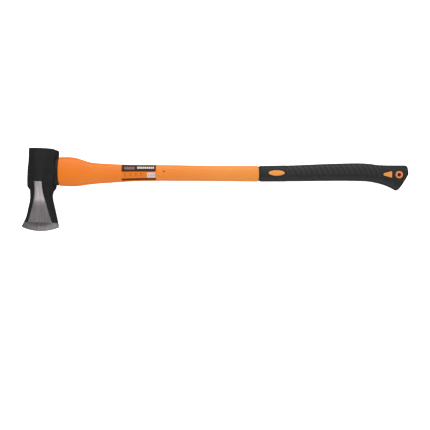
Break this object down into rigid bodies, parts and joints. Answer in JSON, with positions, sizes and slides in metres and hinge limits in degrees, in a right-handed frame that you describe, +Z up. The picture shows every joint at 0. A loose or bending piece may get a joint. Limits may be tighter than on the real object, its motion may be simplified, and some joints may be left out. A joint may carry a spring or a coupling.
{
  "type": "splitting maul",
  "caption": "Splitting maul lying on its side: wedge head with flat poll and ground ridge, moulded fibreglass handle with ribbed rubber grip and hang hole.",
  "frame": {"origin": "on the surface that the tool lies on, under the middle of its box", "axes": "+X along the handle from the head to the butt, +Y towards the poll, +Z up out of the upper cheek"},
  "size_m": [0.8989, 0.1927, 0.064],
  "materials": {
    "head_steel": "black paint over forged steel, with the ridge and bit ground bright",
    "resin": "cast dark epoxy",
    "seal_rubber": "matt",
    "fibreglass": "pultruded glass fibre and resin",
    "orange_plastic": "satin moulded polypropylene",
    "grip_rubber": "matt, with moulded ribs",
    "label_film": "printed film"
  },
  "bodies": {
    "root": {"head": "head_steel", "eye_resin": "resin", "eye_seal": "seal_rubber", "fibreglass_core": "fibreglass", "handle_jacket": "orange_plastic", "grip_sleeve": "grip_rubber", "label": "label_film"}
  },
  "joints": []
}
